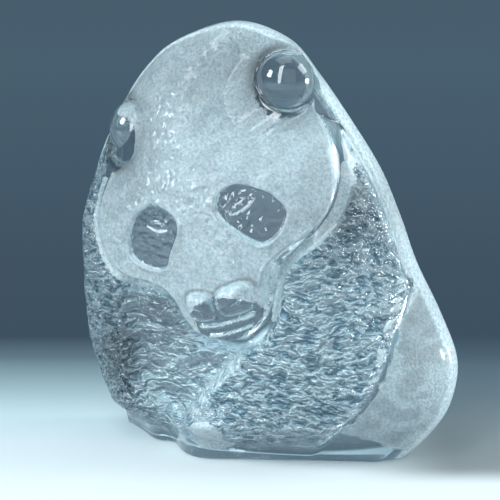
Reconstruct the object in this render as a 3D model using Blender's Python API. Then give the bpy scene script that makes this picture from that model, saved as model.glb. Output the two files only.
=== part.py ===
"""A seated panda cast in solid glass: a thick slab with a rounded rim, the panda in relief on its front
face, a plain flat back with a rounded edge, and an underside ground flat, on which it stands.

Frame: metres, +Z up, the panda faces -Y, and the origin is at the middle of the underside's box.
"""

import math

import bmesh
import bpy
import numpy as np

MM = 0.001

# Overall sizes of the casting, heights of the relief measured forward from the parting line
HEIGHT = 110.5 * MM  # underside to the top of the head
BACK_CROWN = 4.0 * MM  # how far the flat back lies behind the parting line
BACK_ROUND = 7.0 * MM  # width over which the back's edge rounds over
RIM_RISE = 4.2 * MM  # the ledge that frames the relief
RIM_WIDTH = 1.3 * MM  # width of that ledge

# How high each region of the figure rises above the ledge at the middle of the slab
BELLY_RISE = 19.5 * MM
LEFT_ARM_RISE = 24.5 * MM
RIGHT_ARM_RISE = 27.0 * MM
RUMP_RISE = 25.0 * MM
HEAD_RISE = 24.0 * MM
FOREHEAD_RISE = 6.0 * MM
MUZZLE_RISE = 3.0 * MM

# Where those heights change, and over what width
ARM_EDGE = 5.0 * MM
LEFT_ARM_EDGE = 7.0 * MM
RUMP_EDGE = 1.8 * MM
HEAD_EDGE = 1.6 * MM
LEFT_START = 14.0 * MM  # how far left of the middle the left flank's fuller curve begins
FLANK_BLEND = 14.0 * MM
FLANK_TOP = 80.0 * MM
FLANK_TOP_BLEND = 26.0 * MM
CROWN_START = 4.0 * MM
CROWN_BLEND = 16.0 * MM
FOREHEAD_UP = 2.0 * MM
FOREHEAD_HALF = (23.0 * MM, 26.0 * MM)
MUZZLE_UP = -22.0 * MM
MUZZLE_HALF = (12.0 * MM, 11.0 * MM)

# Carving of the face, ears and paw
CHANNEL_DEPTH = 2.8 * MM
CHANNEL_OFFSET = 2.2 * MM
CHANNEL_WIDTH = 2.0 * MM
CHANNEL_TOP = 17.0 * MM
CHANNEL_FADE = 12.0 * MM
PATCH_DEPTH = 1.3 * MM
PATCH_EDGE = 0.35 * MM
PATCH_BEVEL = 1.2 * MM
LID_HEIGHT = 0.7 * MM
LID_WIDTH = 0.42 * MM
EAR_RADIUS = 7.35 * MM
EAR_MOAT_DEPTH = 2.5 * MM
EAR_MOAT_WIDTH = 1.1 * MM
EAR_DISH_WIDTH = 16.0 * MM  # the head falls away towards an ear over this width
EAR_SLOPE = 5.0  # slope at which an ear that reaches the rim is drawn in
EAR_LEAN_FADE = 4.0 * MM  # the surface beside a leaning ear leans with it over this width
NOSE_RISE = 3.4 * MM
LIP_RISE = 1.4 * MM
LIP_WIDTH = 0.85 * MM
PAW_RISE = 3.6 * MM

# Coarse swells of the fur on the arms, legs and belly
FUR_PITCH_ACROSS = 6.0 * MM
FUR_PITCH_UP = 4.2 * MM
FUR_HEIGHT = 0.7 * MM
FUR_FADE = 2.5 * MM
FUR_SEED = 11

# Mesh density before the surface is thinned out, and the number of triangles that stay
CELL = 0.53 * MM
MOST_TRIANGLES = 9400

# The outline, seen from the front, clockwise from the top, as shares of the height. The stretch below
# zero is ground away.
OUTLINE = (
    (-0.055, 1.000),
    (0.072, 0.966),
    (0.150, 0.886),
    (0.230, 0.783),
    (0.302, 0.678),
    (0.354, 0.566),
    (0.395, 0.462),
    (0.453, 0.352),
    (0.496, 0.244),
    (0.486, 0.150),
    (0.446, 0.075),
    (0.368, -0.010),
    (0.220, -0.150),
    (0.000, -0.215),
    (-0.210, -0.140),
    (-0.330, -0.030),
    (-0.371, 0.085),
    (-0.416, 0.200),
    (-0.434, 0.320),
    (-0.441, 0.430),
    (-0.438, 0.530),
    (-0.422, 0.625),
    (-0.388, 0.715),
    (-0.338, 0.810),
    (-0.275, 0.895),
    (-0.197, 0.956),
)
OUTLINE_CENTRE = (0.010, 0.440)

# How far the underside reaches forward of the parting line, by its place across
BASE_PLAN = (
    (-42.0, 0.0),
    (-38.5, 1.4),
    (-35.4, 3.8),
    (-29.9, 8.2),
    (-25.5, 12.6),
    (-23.0, 14.0),
    (-21.0, 13.6),
    (-19.2, 12.8),
    (-17.4, 14.6),
    (-12.8, 20.6),
    (-8.0, 23.6),
    (-4.0, 23.2),
    (3.0, 20.6),
    (14.0, 16.6),
    (23.0, 13.2),
    (33.0, 9.6),
    (41.0, 7.0),
)
PLAN_SHIFTS = (-1.8, -0.9, 0.0, 0.9, 1.8)  # the plan is averaged over these shifts across, which rounds it
BASE_BLEND = 12.0 * MM  # height above the underside over which the figure swells out of that plan

# The head is symmetric about its own upright, which leans to the left
HEAD_CENTRE = (-3.5 * MM, 65.0 * MM)
HEAD_LEAN = math.radians(17)
HEAD_HALF = (
    (0.0, 62.0),
    (21.0, 52.0),
    (24.6, 32.0),
    (25.7, 19.2),
    (28.3, 14.9),
    (30.8, 10.2),
    (32.3, 4.0),
    (32.1, -1.9),
    (29.9, -7.3),
    (25.5, -11.3),
    (19.7, -13.6),
    (14.9, -16.4),
    (12.4, -20.5),
    (11.6, -24.5),
    (8.8, -29.4),
    (0.0, -33.0),
)
# the dark patches round the eyes, across and up from the head's centre
RIGHT_PATCH = (
    (7.4, 3.2),
    (9.6, 5.0),
    (12.8, 5.0),
    (17.9, 1.8),
    (20.8, -2.1),
    (21.4, -5.4),
    (18.4, -9.6),
    (14.6, -10.6),
    (10.4, -6.7),
    (6.6, -0.8),
)
LEFT_PATCH = (
    (-12.6, 5.3),
    (-9.6, 4.4),
    (-5.6, 1.4),
    (-5.2, -2.2),
    (-9.6, -7.6),
    (-12.0, -10.6),
    (-16.4, -10.4),
    (-21.4, -7.2),
    (-22.2, -3.4),
    (-18.6, 3.0),
)
EYE_MIDDLE = (12.2 * MM, -0.5 * MM)
EYE_HALF_LENGTH = 3.9 * MM
EYE_SLANT = math.radians(22)
LOWER_LID = 0.95 * MM  # how far the lower lid sags under the line between the eye's corners
UPPER_LID = 1.1 * MM
EYE_FOLD = 2.3 * MM
EYE_RISE = 0.35 * MM
EARS = (
    # across, up, the height of the ball's middle, how far the head falls away round it, and how far
    # the ball leans out across and up for each unit of height
    (19.05 * MM, 25.9 * MM, 6.0 * MM, 7.5 * MM, (0.494, 0.093)),
    (-22.7 * MM, 24.5 * MM, 5.8 * MM, 0.5 * MM, (0.0, 0.0)),
)
NOSE_LOBE = (5.3 * MM, -22.2 * MM)
NOSE_HALF_SIZE = (5.0 * MM, 3.9 * MM)
MUZZLE_TURN = 1.25  # the muzzle's left side is this much narrower, since the head is turned a little
UPPER_LIP = -27.9 * MM
LOWER_LIP = -30.6 * MM

# The limbs and the rump, seen from the front, in millimetres
RIGHT_ARM = (
    (16, 106), (32, 88), (44, 70), (51, 58), (54, 46), (52, 34), (46, 20), (38, 6), (30, -6), (18, -16),
    (-14, -16), (-13, 2), (-9, 12), (0, 22), (8, 32), (13.5, 38.5), (16, 46), (18.4, 52.5),
    (23.2, 60.5), (28, 70), (27, 80), (22, 92),
)
LEFT_ARM = (
    (-22, 106), (-30, 86), (-33, 70), (-31, 56), (-27, 46), (-27, 36), (-25, 24), (-19, 12), (-13, 4),
    (-16, -4), (-30, -10), (-45, 0), (-58, 30), (-58, 60), (-48, 90), (-32, 104),
)
RUMP = (
    (41.5, 67), (42.4, 58), (43.4, 48.4), (43.6, 42), (43, 36.5), (41, 27), (36.4, 18.2), (30.6, 11.4),
    (22.6, 3.2), (16, -6), (20, -20), (50, -20), (70, 20), (62, 50), (52, 66),
)
PAW_MIDDLE = (-2.5 * MM, 8.5 * MM)
PAW_HALF_SIZE = (8.5 * MM, 6.5 * MM)


def closed_curve(points, steps):
    """A smooth closed curve through the points."""
    corners = np.asarray(points, float)
    count = len(corners)
    along = np.arange(steps) * count / steps
    first = along.astype(int)
    part = (along - first)[:, None]
    a, b, c, d = (corners[(first + k) % count] for k in (-1, 0, 1, 2))
    bend = 2 * a - 5 * b + 4 * c - d
    return 0.5 * (2 * b + (c - a) * part + bend * part**2 + (3 * b - a - 3 * c + d) * part**3)


def signed_distance(x, z, loop):
    """The distance to a closed loop, positive inside it."""
    nearest = np.full(x.shape, 1.0)
    inside = np.zeros(x.shape, bool)
    for (ax, az), (bx, bz) in zip(loop, np.roll(loop, -1, 0)):
        ex = bx - ax
        ez = bz - az
        along = np.clip(((x - ax) * ex + (z - az) * ez) / (ex * ex + ez * ez), 0, 1)
        nearest = np.minimum(nearest, (x - ax - along * ex) ** 2 + (z - az - along * ez) ** 2)
        if ez:
            inside ^= ((az > z) != (bz > z)) & (x < ex * (z - az) / ez + ax)
    return np.where(inside, 1, -1) * np.sqrt(nearest)


def ease(value):
    """A smooth step from 0 to 1."""
    value = np.clip(value, 0, 1)
    return value * value * (3 - 2 * value)


def blend(low, high, weight):
    return low + (high - low) * weight


def swell(value):
    """A rounded ridge, 1 on its line."""
    return np.exp(-(value**2))


def head_frame(x, z):
    """Across and up in the head's own leaning frame."""
    dx = x - HEAD_CENTRE[0]
    dz = z - HEAD_CENTRE[1]
    across = dx * math.cos(HEAD_LEAN) + dz * math.sin(HEAD_LEAN)
    return across, dz * math.cos(HEAD_LEAN) - dx * math.sin(HEAD_LEAN)


def head_loop():
    left_half = [(-across, up) for across, up in reversed(HEAD_HALF) if across]
    return closed_curve(np.array(list(HEAD_HALF) + left_half) * MM, 240)


def outline_radius(angle):
    """The outline's distance from its centre in each direction."""
    loop = (closed_curve(OUTLINE, 720) - np.array(OUTLINE_CENTRE)) * HEIGHT
    turn = np.arctan2(loop[:, 1], loop[:, 0])
    order = np.argsort(turn)
    return np.interp(angle, turn[order], np.hypot(loop[:, 0], loop[:, 1])[order], period=2 * math.pi)


def lattice_noise(x, z, seed):
    """Smooth noise between about -1 and 1 with a pitch of 1 both ways."""
    size = 64
    turn = np.random.default_rng(seed).random((size, size)) * 2 * math.pi
    column = np.floor(x).astype(int)
    row = np.floor(z).astype(int)
    fx = x - column
    fz = z - row
    total = np.zeros(x.shape)
    for i in (0, 1):
        for j in (0, 1):
            angle = turn[(column + i) % size, (row + j) % size]
            slope = np.cos(angle) * (fx - i) + np.sin(angle) * (fz - j)
            total += slope * ease(1 - np.abs(fx - i)) * ease(1 - np.abs(fz - j))
    return 1.6 * total


def fur_swells(x, z):
    """The coarse, mostly level waves of the fur."""
    sway = 1.5 * MM * lattice_noise(x / (14 * MM), z / (14 * MM), FUR_SEED + 1)
    return FUR_HEIGHT * lattice_noise(x / FUR_PITCH_ACROSS, (z + sway) / FUR_PITCH_UP, FUR_SEED)


def eye_relief(across, up):
    """The lids, the ball and the fold over a half-closed eye."""
    dx = across - EYE_MIDDLE[0]
    dz = up - EYE_MIDDLE[1]
    along = (dx * math.cos(EYE_SLANT) + dz * math.sin(EYE_SLANT)) / EYE_HALF_LENGTH
    over = dz * math.cos(EYE_SLANT) - dx * math.sin(EYE_SLANT)
    opening = np.clip(1 - along**2, 0, None)
    lower = over + LOWER_LID * opening
    upper = over - UPPER_LID * opening
    ball = EYE_RISE * ease(lower / LID_WIDTH + 0.5) * ease(-upper / LID_WIDTH + 0.5)
    lids = LID_HEIGHT * (swell(lower / LID_WIDTH) + 0.7 * swell((upper - LID_WIDTH) / LID_WIDTH))
    fold = 0.5 * LID_HEIGHT * swell((over - EYE_FOLD * opening - 0.8 * MM) / LID_WIDTH)
    return (ball + lids + fold) * np.sqrt(opening)


def nose_relief(across, up):
    """Two lobes with a groove between them, a nostril slit in each, and the lips below."""
    side = np.where(across < 0, -MUZZLE_TURN * across, across)
    dx = side - NOSE_LOBE[0]
    dz = up - NOSE_LOBE[1]
    round_x = np.abs(dx / NOSE_HALF_SIZE[0])
    round_z = np.abs((dz - 0.1 * dx) / NOSE_HALF_SIZE[1])
    lobe = np.sqrt(np.clip(1 - round_x**3 - round_z**3, 0, 1))
    slit_x = (dx - 0.9 * MM) / (2.6 * MM)
    slit_z = (dz + 0.4 * MM - 0.45 * (dx - 0.9 * MM)) / (0.6 * MM)
    slit = 0.7 * MM * np.exp(-(slit_x**2) - slit_z**2)
    smile = 0.013 * side**2 / MM
    upper = swell((up - UPPER_LIP - smile) / LIP_WIDTH) * ease((9.5 * MM - side) / (2 * MM))
    lower = swell((up - LOWER_LIP - smile) / LIP_WIDTH) * ease((8 * MM - side) / (2 * MM))
    return NOSE_RISE * lobe - slit + LIP_RISE * (upper + 0.85 * lower)


def leaning_ball(dx, dz, lean):
    """The front of a ball over its middle, at points that move by the lean as they rise."""
    stretch = 1 + lean[0] ** 2 + lean[1] ** 2
    out = lean[0] * dx + lean[1] * dz
    inside = out**2 - stretch * (dx**2 + dz**2 - EAR_RADIUS**2)
    return np.where(inside > 0, (np.sqrt(np.clip(inside, 0, None)) - out) / stretch, -EAR_RADIUS)


def ear_lean(x, z, height):
    """How far the surface moves across and up where an ear leans out over the rim."""
    across, up = head_frame(x, z)
    move_across = np.zeros(x.shape)
    move_up = np.zeros(x.shape)
    for ear_across, ear_up, ear_middle, dish_depth, lean in EARS:
        away = np.hypot(across - ear_across, up - ear_up)
        share = ease(1 - (away - EAR_RADIUS - EAR_MOAT_WIDTH) / EAR_LEAN_FADE)
        move_across += lean[0] * height * share
        move_up += lean[1] * height * share
    move_x = move_across * math.cos(HEAD_LEAN) - move_up * math.sin(HEAD_LEAN)
    return move_x, move_across * math.sin(HEAD_LEAN) + move_up * math.cos(HEAD_LEAN)


def relief(x, z, share, radius):
    """How far the front stands forward of the parting line.

    share: place on the ray from the outline's centre, 0 there and 1 at the outline.
    radius: length of that ray.
    """
    inset = (1 - share) * radius
    across, up = head_frame(x, z)

    # the slab's rim and the dome that every region rides on, flatter over the rump and the crown
    rim = RIM_RISE * np.sqrt(1 - (1 - np.clip(inset / RIM_WIDTH, 0, 1)) ** 2)
    rump = signed_distance(x, z, closed_curve(np.array(RUMP) * MM, 120))
    on_rump = ease(rump / RUMP_EDGE + 0.5)
    left = ease((-x - LEFT_START) / FLANK_BLEND) * ease((FLANK_TOP - z) / FLANK_TOP_BLEND)
    crown = ease((up - CROWN_START) / CROWN_BLEND)
    right = ease(across / FLANK_TOP_BLEND + 0.5)
    out = np.clip(1 - (inset - RIM_WIDTH) / (radius - RIM_WIDTH), 0, 1)
    power = blend(blend(2.3, 3.0, left), blend(2.0, 1.6, right), crown)
    steepness = blend(blend(0.5, blend(0.65, 0.8, right), crown), 0.75, on_rump)
    dome = (1 - out**power) ** steepness

    # the regions, each over the one before
    rise = np.full(x.shape, BELLY_RISE)
    left_arm = signed_distance(x, z, closed_curve(np.array(LEFT_ARM) * MM, 160))
    rise = blend(rise, LEFT_ARM_RISE, ease(left_arm / LEFT_ARM_EDGE + 0.5))
    right_arm = signed_distance(x, z, closed_curve(np.array(RIGHT_ARM) * MM, 160))
    rise = blend(rise, RIGHT_ARM_RISE, ease(right_arm / ARM_EDGE + 0.5))
    rise = blend(rise, RUMP_RISE, on_rump)
    head = signed_distance(across, up, head_loop())
    channel = swell((head + CHANNEL_OFFSET) / CHANNEL_WIDTH) * ease((CHANNEL_TOP - up) / CHANNEL_FADE)
    rise = rise - CHANNEL_DEPTH * channel
    forehead = swell(across / FOREHEAD_HALF[0]) * swell((up - FOREHEAD_UP) / FOREHEAD_HALF[1])
    muzzle = swell(across / MUZZLE_HALF[0]) * swell((up - MUZZLE_UP) / MUZZLE_HALF[1])
    face = HEAD_RISE + FOREHEAD_RISE * forehead + MUZZLE_RISE * muzzle
    rise = blend(rise, face, ease(head / HEAD_EDGE + 0.5))
    height = rim + dome * rise

    # the fur's swells, kept off the head, the channel, the rump, the rim and the underside
    furred = ease((-head - CHANNEL_OFFSET) / FUR_FADE) * ease((-rump + 1 * MM) / FUR_FADE)
    furred = furred * ease((inset - RIM_WIDTH) / FUR_FADE) * ease((z - 3 * MM) / (8 * MM))
    height = height + furred * fur_swells(x, z)

    # the paw
    paw_x = (x - PAW_MIDDLE[0]) / PAW_HALF_SIZE[0]
    paw_z = (z - PAW_MIDDLE[1]) / PAW_HALF_SIZE[1]
    height = height + PAW_RISE * ease(1.15 - np.hypot(paw_x, paw_z))

    # the eye patches, eyes, nose and lips
    for loop in (RIGHT_PATCH, LEFT_PATCH):
        patch = signed_distance(across, up, closed_curve(np.array(loop) * MM, 64))
        height = height - PATCH_DEPTH * ease(patch / PATCH_BEVEL + 0.5)
        height = height + PATCH_EDGE * swell((patch + 0.75 * PATCH_BEVEL) / (0.6 * PATCH_BEVEL))
    height = height + eye_relief(np.abs(across), up) + nose_relief(across, up)

    # the ears, each a ball in a dish with a narrow moat round it
    for ear_across, ear_up, ear_middle, dish_depth, lean in EARS:
        away = np.hypot(across - ear_across, up - ear_up)
        dish = dish_depth * ease(1 - (away - EAR_RADIUS) / EAR_DISH_WIDTH)
        moat = EAR_MOAT_DEPTH * ease(1 - (away - EAR_RADIUS) / EAR_MOAT_WIDTH)
        height = np.maximum(height - dish - moat, rim)
        ball = ear_middle + leaning_ball(across - ear_across, up - ear_up, lean)
        height = np.maximum(height, np.minimum(ball, rim + EAR_SLOPE * inset))

    # the figure draws in to the plan of the underside
    plan = np.array(BASE_PLAN) * MM
    reach = np.mean([np.interp(x + shift * MM, plan[:, 0], plan[:, 1]) for shift in PLAN_SHIFTS], 0)
    drawn_in = ease(1 - z / BASE_BLEND)
    return blend(height, np.minimum(height, reach), drawn_in)


def disc_grid(cells):
    """A square grid drawn out to a disc, with no pole at its middle."""
    line = np.linspace(-1, 1, cells + 1)
    a, b = np.meshgrid(line, line)
    wide = np.abs(a) >= np.abs(b)
    reach = np.where(wide, a, b)
    angle = np.where(
        wide,
        math.pi / 4 * b / np.where(a == 0, 1, a),
        math.pi / 2 - math.pi / 4 * a / np.where(b == 0, 1, b),
    )
    return reach * np.cos(angle), reach * np.sin(angle)


def sheet(cells, surface):
    """The points of one face of the slab, set out from the outline and moved onto its surface."""
    disc_x, disc_z = disc_grid(cells)
    share = np.hypot(disc_x, disc_z)
    angle = np.arctan2(disc_z, disc_x)
    radius = outline_radius(angle)
    x = OUTLINE_CENTRE[0] * HEIGHT + share * radius * np.cos(angle)
    z = OUTLINE_CENTRE[1] * HEIGHT + share * radius * np.sin(angle)
    return np.stack(surface(x, z, share, radius), -1)


def front_surface(x, z, share, radius):
    height = relief(x, z, share, radius)
    move_x, move_z = ear_lean(x, z, height)
    return x + move_x, -height, z + move_z


def back_surface(x, z, share, radius):
    inset = (1 - share) * radius
    return x, BACK_CROWN * np.sqrt(1 - (1 - np.clip(inset / BACK_ROUND, 0, 1)) ** 2), z


def solid_mesh():
    """Front and back sheets joined along the outline, then ground flat at zero."""
    cells = round(HEIGHT / CELL)
    front = sheet(cells, front_surface).reshape(-1, 3)
    back = sheet(cells, back_surface).reshape(-1, 3)
    number = np.arange((cells + 1) ** 2).reshape(cells + 1, cells + 1)
    inner = np.zeros(number.shape, bool)
    inner[1:-1, 1:-1] = True
    behind = np.where(inner, number + len(front), number)
    faces = []
    for i in range(cells):
        for j in range(cells):
            faces.append([int(number[i + di, j + dj]) for di, dj in ((0, 0), (0, 1), (1, 1), (1, 0))])
            faces.append([int(behind[i + di, j + dj]) for di, dj in ((0, 0), (1, 0), (1, 1), (0, 1))])
    mesh = bpy.data.meshes.new("glass_panda")
    mesh.from_pydata(np.concatenate([front, back]).tolist(), [], faces)
    body = bmesh.new()
    body.from_mesh(mesh)
    bmesh.ops.delete(body, geom=[v for v in body.verts if not v.link_faces], context="VERTS")
    body.to_mesh(mesh)
    body.free()
    return mesh


def thin_out(mesh):
    """The same surface in fewer triangles."""
    model = bpy.data.objects.new("thinning", mesh)
    bpy.context.collection.objects.link(model)
    thinner = model.modifiers.new("thinner", "DECIMATE")
    thinner.ratio = MOST_TRIANGLES / (2 * len(mesh.polygons))
    thinner.use_collapse_triangulate = True
    bpy.context.view_layer.update()
    thinned = bpy.data.meshes.new_from_object(model.evaluated_get(bpy.context.evaluated_depsgraph_get()))
    bpy.data.objects.remove(model)
    return thinned


def grind_underside(mesh):
    """Cuts everything below zero away, closes the cut and centres the solid over the origin."""
    body = bmesh.new()
    body.from_mesh(mesh)
    everything = body.verts[:] + body.edges[:] + body.faces[:]
    cut = bmesh.ops.bisect_plane(
        body, geom=everything, plane_co=(0, 0, 0), plane_no=(0, 0, -1), clear_outer=True, dist=2e-5
    )
    ring = [piece for piece in cut["geom_cut"] if isinstance(piece, bmesh.types.BMEdge)]
    bmesh.ops.holes_fill(body, edges=ring, sides=0)
    for vert in body.verts:
        if abs(vert.co.z) < 2.1e-5:
            vert.co.z = 0.0
    bmesh.ops.triangulate(body, faces=body.faces)
    bmesh.ops.recalc_face_normals(body, faces=body.faces)
    points = np.array([vert.co[:] for vert in body.verts])
    middle = (points.min(0) + points.max(0)) / 2
    for vert in body.verts:
        vert.co.x -= middle[0]
        vert.co.y -= middle[1]
    body.to_mesh(mesh)
    body.free()
    return mesh


def clear_glass():
    material = bpy.data.materials.new("clear_glass")
    material.use_nodes = True
    shader = material.node_tree.nodes["Principled BSDF"]
    shader.inputs["Base Color"].default_value = (0.86, 0.93, 0.95, 1)
    shader.inputs["Roughness"].default_value = 0.05
    shader.inputs["IOR"].default_value = 1.52
    shader.inputs["Transmission Weight"].default_value = 1.0
    return material


def build():
    for item in list(bpy.data.objects):
        bpy.data.objects.remove(item)
    mesh = grind_underside(thin_out(solid_mesh()))
    mesh.name = "glass_panda"
    mesh.materials.append(clear_glass())
    panda = bpy.data.objects.new("glass_panda", mesh)
    group = bpy.data.collections.new("glass_panda_paperweight")
    bpy.context.scene.collection.children.link(group)
    group.objects.link(panda)


build()
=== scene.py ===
"""The cast glass panda's looks: its relief in full detail, clear and frosted glass, table and lights."""

import math

import bmesh
import bpy
import numpy as np
from mathutils import Matrix, Vector


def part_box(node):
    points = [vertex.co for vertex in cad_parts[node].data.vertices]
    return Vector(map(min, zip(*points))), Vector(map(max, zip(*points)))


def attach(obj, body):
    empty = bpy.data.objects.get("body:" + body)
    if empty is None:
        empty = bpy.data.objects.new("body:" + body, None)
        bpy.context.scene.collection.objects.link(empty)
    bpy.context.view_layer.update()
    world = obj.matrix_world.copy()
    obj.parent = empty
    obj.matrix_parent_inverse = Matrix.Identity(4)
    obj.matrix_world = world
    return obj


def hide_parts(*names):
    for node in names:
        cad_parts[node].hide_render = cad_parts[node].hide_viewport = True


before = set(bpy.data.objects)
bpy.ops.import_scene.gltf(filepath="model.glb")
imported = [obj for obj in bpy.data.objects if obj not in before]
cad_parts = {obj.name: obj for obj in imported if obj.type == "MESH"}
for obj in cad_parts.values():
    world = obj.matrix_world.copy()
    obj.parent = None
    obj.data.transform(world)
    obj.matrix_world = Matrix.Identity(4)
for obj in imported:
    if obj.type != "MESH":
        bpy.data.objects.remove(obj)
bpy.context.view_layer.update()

MM = 0.001

# Overall sizes of the casting, heights of the relief measured forward from the parting line
HEIGHT = 110.5 * MM  # underside to the top of the head
BACK_CROWN = 4.0 * MM  # how far the flat back lies behind the parting line
BACK_ROUND = 7.0 * MM  # width over which the back's edge rounds over
RIM_RISE = 4.2 * MM  # the ledge that frames the relief
RIM_WIDTH = 1.3 * MM  # width of that ledge

# How high each region of the figure rises above the ledge at the middle of the slab
BELLY_RISE = 19.5 * MM
LEFT_ARM_RISE = 24.5 * MM
RIGHT_ARM_RISE = 27.0 * MM
RUMP_RISE = 25.0 * MM
HEAD_RISE = 24.0 * MM
FOREHEAD_RISE = 6.0 * MM
MUZZLE_RISE = 3.0 * MM

# Where those heights change, and over what width
ARM_EDGE = 5.0 * MM
LEFT_ARM_EDGE = 7.0 * MM
RUMP_EDGE = 1.8 * MM
HEAD_EDGE = 1.6 * MM
LEFT_START = 14.0 * MM  # how far left of the middle the left flank's fuller curve begins
FLANK_BLEND = 14.0 * MM
FLANK_TOP = 80.0 * MM
FLANK_TOP_BLEND = 26.0 * MM
CROWN_START = 4.0 * MM
CROWN_BLEND = 16.0 * MM
FOREHEAD_UP = 2.0 * MM
FOREHEAD_HALF = (23.0 * MM, 26.0 * MM)
MUZZLE_UP = -22.0 * MM
MUZZLE_HALF = (12.0 * MM, 11.0 * MM)

# Carving of the face, ears and paw
CHANNEL_DEPTH = 2.8 * MM
CHANNEL_OFFSET = 2.2 * MM
CHANNEL_WIDTH = 2.0 * MM
CHANNEL_TOP = 17.0 * MM
CHANNEL_FADE = 12.0 * MM
PATCH_DEPTH = 1.3 * MM
PATCH_EDGE = 0.50 * MM
PATCH_BEVEL = 0.9 * MM
LID_HEIGHT = 0.7 * MM
LID_WIDTH = 0.30 * MM
EAR_RADIUS = 7.35 * MM
EAR_MOAT_DEPTH = 2.5 * MM
EAR_MOAT_WIDTH = 1.1 * MM
EAR_DISH_WIDTH = 16.0 * MM  # the head falls away towards an ear over this width
EAR_SLOPE = 5.0  # slope at which an ear that reaches the rim is drawn in
EAR_LEAN_FADE = 4.0 * MM  # the surface beside a leaning ear leans with it over this width
NOSE_RISE = 3.4 * MM
LIP_RISE = 1.6 * MM
LIP_WIDTH = 0.50 * MM
PAW_RISE = 3.6 * MM

# Coarse swells of the fur on the arms, legs and belly
FUR_PITCH_ACROSS = 6.0 * MM
FUR_PITCH_UP = 4.2 * MM
FUR_HEIGHT = 0.7 * MM
FUR_FADE = 2.5 * MM
FUR_SEED = 11

# The finest carving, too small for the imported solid
STROKE_PITCH = 1.7 * MM
STROKE_DEPTH = 0.55 * MM
STROKE_ENDS = 0.22 * MM
STROKE_DRIFT = (0.8, 0.3)  # how far the strokes wander, as shares of their pitch
STROKE_FAINTEST = 0.3  # depth where they are faintest, as a share of the deepest
STROKE_POWER = 0.6  # under 1, for broad tops and narrow grooves
STROKE_MEAN = 0.6
STROKE_FALL = 0.10  # how steeply the arms' strokes fall to the right
LEFT_ARM_BOLD = 0.6  # how much deeper they are on the left arm
NICK_DEPTH = 0.40 * MM
NICK_FALL = (0.8, 0.6)  # cosine and sine of the nicks' fall to the right
BELLY_LUMPS = 0.18 * MM
BEAD_MEAN = 0.35
EDGE_BEADS = 0.45 * MM
HEAD_BEAD = 0.25 * MM
HEAD_BEAD_PLACE = 0.7 * MM  # in from the head's edge
HEAD_BEAD_HALF = 0.6 * MM
HEAD_BEAD_TOP = 8 * MM
SKIN_LUMPS = 0.60 * MM
SKIN_FINE = 0.26 * MM
SKIN_LEAST = 0.40  # share of those away from the forehead
SKIN_UP = 9 * MM
SKIN_HALF = (19 * MM, 11 * MM)
SKIN_FOOT = -18 * MM
SKIN_FOOT_FADE = 14 * MM
SKIN_FROM_HEAD_EDGE = 1 * MM
SKIN_FROM_RIM = 3 * MM
SKIN_EDGE_FADE = 2 * MM
SKIN_FROM_EAR = 1.5 * MM
SKIN_EAR_FADE = 3 * MM

# The noises: pitch across and up in millimetres, and what is added to the fur's seed
NOISES = {
    "beads": (1.6, 1.6, 9),
    "stroke drift": (2.1, 2.3, 20),
    "stroke sway": (1.3, 1.2, 21),
    "stroke strength": (1.9, 1.7, 22),
    "stroke ends": (1.1, 0.9, 23),
    "nicks": (1.5, 0.8, 30),
    "belly lumps": (2.4, 2, 31),
    "skin lumps": (2.1, 1.5, 40),
    "skin grain": (1.0, 0.8, 41),
    "ear edge": (1.4, 1.4, 50),
    "clouds": (5, 4, 60),
    "fine clouds": (2.2, 1.8, 61),
    "rump edge": (4, 4, 62),
    "fine rump edge": (1.5, 1.5, 63),
}

# How far the fur keeps off the rump, the rim and the underside
FUR_OVER_RUMP = 1 * MM
FUR_RIM_FADE = 1.2 * MM
FUR_FOOT = 3 * MM
FUR_FOOT_FADE = 8 * MM
FUR_SHARPNESS = 3
BELLY_FUR = 0.55  # the belly's fur, as a share of the arms'

# The forearm's smooth upper side, seen from the front, in millimetres
FOREARM = ((7, 30), (8.5, 27.5), (1.5, 21), (-3.5, 15.5), (-6.5, 11.5), (-8, 13.5), (-4, 20), (2, 26.5))
FOREARM_EDGE = 2 * MM
FOREARM_SMOOTH = 0.8

# The beaded line where the arm ends at the rump: where it starts and ends, measured into the rump
EDGE_LINE_START = -1.4 * MM
EDGE_LINE_START_FADE = 1.2 * MM
EDGE_LINE_END = 0.5 * MM
EDGE_LINE_END_FADE = 1.0 * MM
EDGE_LINE_FROM_RIM = 1 * MM
EDGE_LINE_FOOT = 4 * MM
EDGE_LINE_FOOT_FADE = 6 * MM

# Where the glass is frosted
FROST_EDGE = 0.7 * MM
RIM_FROST = 1.5 * MM
RIM_FROST_BEHIND = 2.5  # millimetres round the back to where the rim's frost begins to fade
RUMP_FROST_START = 0.8 * MM
RUMP_FROST_EDGE = 1.5 * MM
RUMP_RAGGED = (0.9 * MM, 0.4 * MM)
RUMP_FOOT = (31 * MM, 9 * MM)  # a place on the frost's lower border, which falls to the right
RUMP_FOOT_FALL = 0.5
RUMP_FOOT_EDGE = 2 * MM
CHANNEL_FROST = 0.4
CHANNEL_FROST_START = 0.2 * MM
CHANNEL_FROST_EDGE = 0.6 * MM
CHANNEL_FROST_TOP = (26 * MM, 5 * MM)  # left and right of the head
CHANNEL_FROST_TOP_FADE = 8 * MM
CHANNEL_FROST_FOOT = -31 * MM
CHANNEL_FROST_FOOT_FADE = 3 * MM
# frost above 1 whitens the glass, for painted highlights on the lines and the arm's beaded edge
HIGHLIGHT_FROST = 1.8
EDGE_HIGHLIGHT_FROST = 1.6
FOREARM_FROST = 0.75
PAW_FROST = 0.35

# The clear disc that holds an ear: radius, and its shift to the left and down
EAR_CLEAR = (8.9 * MM, 0.5 * MM, 1.0 * MM)
LEFT_EAR_CLEAR = (7.0 * MM, 3.6 * MM, 2.2 * MM)
EAR_CLEAR_RAGGED = 0.25 * MM
NOSE_CLEAR = (11.0 * MM, 6.9 * MM)
NOSE_CLEAR_UP = -27.1 * MM
NOSE_CLEAR_SHARPNESS = 8
PATCH_CLEAR_PAST = 0.3  # how far the clear reaches past the patch, as a share of the frost's edge
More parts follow.
